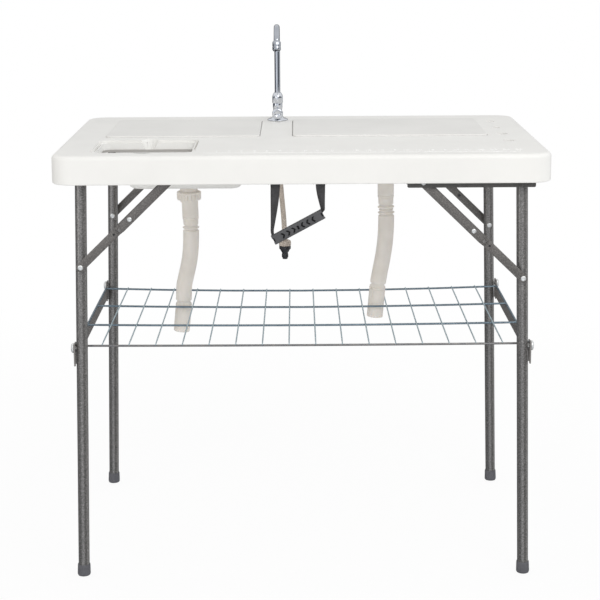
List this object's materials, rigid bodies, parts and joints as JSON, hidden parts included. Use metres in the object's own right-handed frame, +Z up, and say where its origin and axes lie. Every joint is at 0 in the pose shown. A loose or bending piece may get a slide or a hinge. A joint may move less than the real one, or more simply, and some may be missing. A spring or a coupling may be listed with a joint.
{
  "type": "fish cleaning table",
  "caption": "Folding fish cleaning table with a moulded top, lidded sinks with drains, a waste hole, a swivelling tap, fold-under legs with braces and a lift-off wire rack.",
  "frame": {"origin": "on the floor under the middle of the table", "axes": "+X to the right along the table as its user sees it, +Y to its rear edge where the tap stands, +Z up"},
  "size_m": [1.0008, 0.6108, 1.1285],
  "materials": {
    "white_moulding": "satin white moulding with a fine pebble grain",
    "lid_moulding": "satin white moulding",
    "drain_plastic": "warm grey-white plastic",
    "beige_plastic": "beige plastic",
    "hammertone": "grey hammertone powder coat on steel tube",
    "dark_steel": "dark grey textured coat on pressed steel",
    "zinc_wire": "bright zinc on steel wire",
    "zinc_plate": "zinc plate",
    "chrome_plate": "polished chrome plate",
    "dark_rubber": "dark grey rubber",
    "black_plastic": "black plastic",
    "webbing": "dark grey woven webbing"
  },
  "bodies": {
    "table": {"table_top": "white_moulding", "left_sink": "white_moulding", "right_sink": "white_moulding", "left_strainer": "zinc_plate", "left_drain_tail": "drain_plastic", "left_drain_nut": "drain_plastic", "left_drain_hose": "drain_plastic", "right_strainer": "zinc_plate", "right_drain_tail": "drain_plastic", "right_drain_nut": "drain_plastic", "right_drain_hose": "drain_plastic", "tap_base": "chrome_plate", "spout_nut": "chrome_plate", "tap_locknut": "zinc_plate", "supply_hose": "beige_plastic", "coupling_nut": "beige_plastic", "quick_coupling": "black_plastic", "left_front_rail": "dark_steel", "left_rear_rail": "dark_steel", "right_front_rail": "dark_steel", "right_rear_rail": "dark_steel", "left_strap_anchor": "dark_steel", "right_strap_anchor": "dark_steel"},
    "spout": {"spout": "chrome_plate", "aerator": "chrome_plate"},
    "tap_knob": {"tap_knob": "chrome_plate"},
    "left_lid": {"left_lid": "lid_moulding"},
    "right_lid": {"right_lid": "lid_moulding"},
    "rack": {"rack_grid": "zinc_wire", "left_rack_bar": "dark_steel", "right_rack_bar": "dark_steel", "left_front_hook_cap": "zinc_plate", "left_rear_hook_cap": "zinc_plate", "right_front_hook_cap": "zinc_plate", "right_rear_hook_cap": "zinc_plate"},
    "carry_handle": {"left_strap": "webbing", "right_strap": "webbing", "carry_grip": "dark_rubber"},
    "left_legs": {"left_front_leg": "hammertone", "left_front_foot": "dark_rubber", "left_front_stud": "zinc_plate", "left_rear_leg": "hammertone", "left_rear_foot": "dark_rubber", "left_rear_stud": "zinc_plate", "left_hinge_tube": "hammertone"},
    "left_upper_links": {"left_front_upper_link": "dark_steel", "left_rear_upper_link": "dark_steel"},
    "left_lower_links": {"left_front_lower_link": "dark_steel", "left_rear_lower_link": "dark_steel"},
    "right_legs": {"right_front_leg": "hammertone", "right_front_foot": "dark_rubber", "right_front_stud": "zinc_plate", "right_rear_leg": "hammertone", "right_rear_foot": "dark_rubber", "right_rear_stud": "zinc_plate", "right_hinge_tube": "hammertone"},
    "right_upper_links": {"right_front_upper_link": "dark_steel", "right_rear_upper_link": "dark_steel"},
    "right_lower_links": {"right_front_lower_link": "dark_steel", "right_rear_lower_link": "dark_steel"}
  },
  "joints": [
    {"name": "left_legs_fold", "type": "hinge", "parent": "table", "child": "left_legs", "pos_m": [-0.4425, 0, 0.875], "axis": [0, -1, 0], "range_deg": [0, 91.7]},
    {"name": "left_upper_link_fold", "type": "hinge", "parent": "table", "child": "left_upper_links", "pos_m": [-0.2425, 0, 0.875], "axis": [0, 1, 0], "range_deg": [0, 44.2]},
    {"name": "left_lower_link_fold", "type": "hinge", "parent": "left_upper_links", "child": "left_lower_links", "pos_m": [-0.34546, 0, 0.77504], "axis": [0, -1, 0], "range_deg": [0, 180.1]},
    {"name": "right_legs_fold", "type": "hinge", "parent": "table", "child": "right_legs", "pos_m": [0.4425, 0, 0.847], "axis": [0, 1, 0], "range_deg": [0, 91.7]},
    {"name": "right_upper_link_fold", "type": "hinge", "parent": "table", "child": "right_upper_links", "pos_m": [0.2425, 0, 0.847], "axis": [0, -1, 0], "range_deg": [0, 44.2]},
    {"name": "right_lower_link_fold", "type": "hinge", "parent": "right_upper_links", "child": "right_lower_links", "pos_m": [0.34546, 0, 0.74704], "axis": [0, 1, 0], "range_deg": [0, 180.1]},
    {"name": "rack_lift", "type": "slide", "parent": "table", "child": "rack", "axis": [0, 0, 1], "range_m": [0, 0.041]},
    {"name": "left_lid_lift", "type": "slide", "parent": "table", "child": "left_lid", "axis": [0, 0, 1], "range_m": [0, 0.05]},
    {"name": "right_lid_lift", "type": "slide", "parent": "table", "child": "right_lid", "axis": [0, 0, 1], "range_m": [0, 0.05]},
    {"name": "spout_swivel", "type": "hinge", "parent": "table", "child": "spout", "pos_m": [-0.053, 0.231, 0.95], "axis": [0, 0, 1], "continuous": true},
    {"name": "tap_knob_turn", "type": "hinge", "parent": "table", "child": "tap_knob", "pos_m": [-0.053, 0.2, 0.923], "axis": [0, -1, 0], "range_deg": [0, 270]},
    {"name": "carry_handle_swing", "type": "hinge", "parent": "table", "child": "carry_handle", "pos_m": [-0.009, -0.2915, 0.85], "axis": [-1, 0, 0], "range_deg": [-40, 55]}
  ],
  "couplings": [
    {"joint": "left_upper_link_fold", "follows": "left_legs_fold", "ratio": 0.48146},
    {"joint": "left_lower_link_fold", "follows": "left_legs_fold", "ratio": 1.9629},
    {"joint": "right_upper_link_fold", "follows": "right_legs_fold", "ratio": 0.48146},
    {"joint": "right_lower_link_fold", "follows": "right_legs_fold", "ratio": 1.9629}
  ]
}
